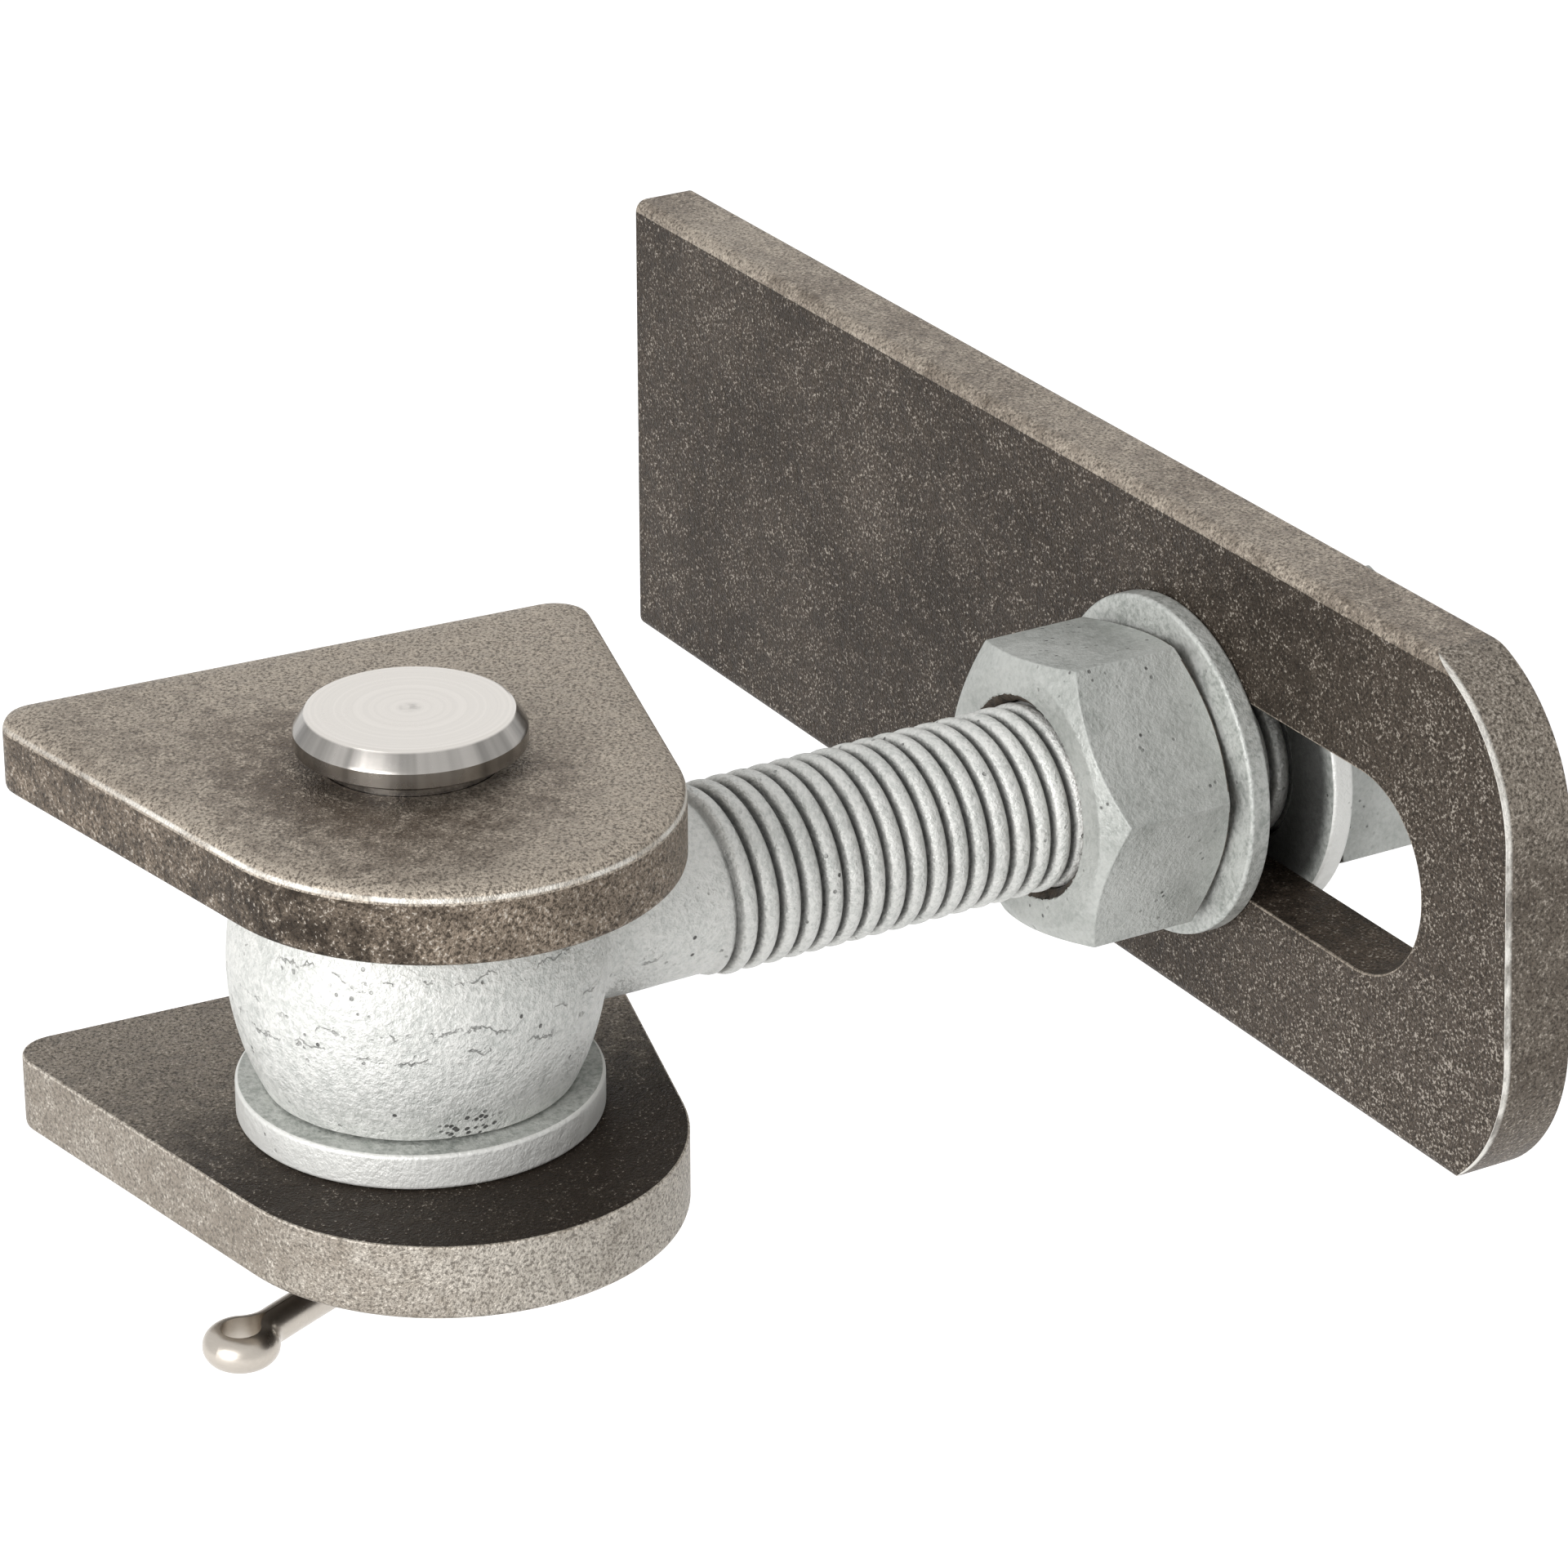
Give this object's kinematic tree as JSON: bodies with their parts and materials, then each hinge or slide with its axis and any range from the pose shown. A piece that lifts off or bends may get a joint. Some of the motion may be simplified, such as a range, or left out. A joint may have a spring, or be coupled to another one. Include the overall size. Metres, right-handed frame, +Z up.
{
  "type": "adjustable gate hinge",
  "caption": "Weld-on gate hinge: an eye bolt turns on a headed pin between teardrop ears and carries a slotted plate clamped by nuts, so a gate can be set in depth and sideways.",
  "frame": {"origin": "middle of the lower ear's weld edge", "axes": "+Y out of the weld edge into the gate post, +Z up the hinge pin, +X along the weld edge, towards the bolt"},
  "size_m": [0.1548, 0.1741, 0.0644],
  "materials": {
    "raw_steel": "raw hot-rolled, matte",
    "galvanised_steel": "hot-dip galvanised, matte",
    "zinc_plated_steel": "zinc plated, satin",
    "stainless_steel": "turned, bright"
  },
  "bodies": {
    "ears": {"upper_ear": "raw_steel", "lower_ear": "raw_steel", "spacer_washer": "zinc_plated_steel"},
    "pin": {"hinge_pin": "stainless_steel", "cotter_pin": "stainless_steel"},
    "bolt": {"eye_bolt": "galvanised_steel"},
    "clamp_washers": {"front_washer": "zinc_plated_steel", "rear_washer": "zinc_plated_steel"},
    "front_nut": {"front_nut": "galvanised_steel"},
    "rear_nut": {"rear_nut": "galvanised_steel"},
    "slot_plate": {"slot_plate": "raw_steel"}
  },
  "joints": [
    {"name": "pin_turn", "type": "hinge", "parent": "ears", "child": "pin", "pos_m": [0, -0.031, 0.0208], "axis": [0, 0, 1], "continuous": true},
    {"name": "hinge_swing", "type": "hinge", "parent": "ears", "child": "bolt", "pos_m": [0, -0.031, 0.0208], "axis": [0, 0, 1], "range_deg": [-187, 0]},
    {"name": "depth_adjust", "type": "slide", "parent": "bolt", "child": "clamp_washers", "axis": [0.9981, 0.061, 0], "range_m": [-0.036, 0.0045]},
    {"name": "front_nut_turn", "type": "hinge", "parent": "clamp_washers", "child": "front_nut", "pos_m": [0.07935, -0.02615, 0.0208], "axis": [0.9981, 0.061, 0], "range_deg": [-5214, 678]},
    {"name": "rear_nut_turn", "type": "hinge", "parent": "clamp_washers", "child": "rear_nut", "pos_m": [0.1083, -0.02438, 0.0208], "axis": [0.9981, 0.061, 0], "range_deg": [-5214, 678]},
    {"name": "slot_shift", "type": "slide", "parent": "clamp_washers", "child": "slot_plate", "axis": [-0.061, 0.9981, 0], "range_m": [-0.0068, 0.033]}
  ],
  "couplings": [
    {"joint": "front_nut_turn", "follows": "depth_adjust", "rad_per_m": 2513.3},
    {"joint": "rear_nut_turn", "follows": "depth_adjust", "rad_per_m": 2513.3}
  ]
}
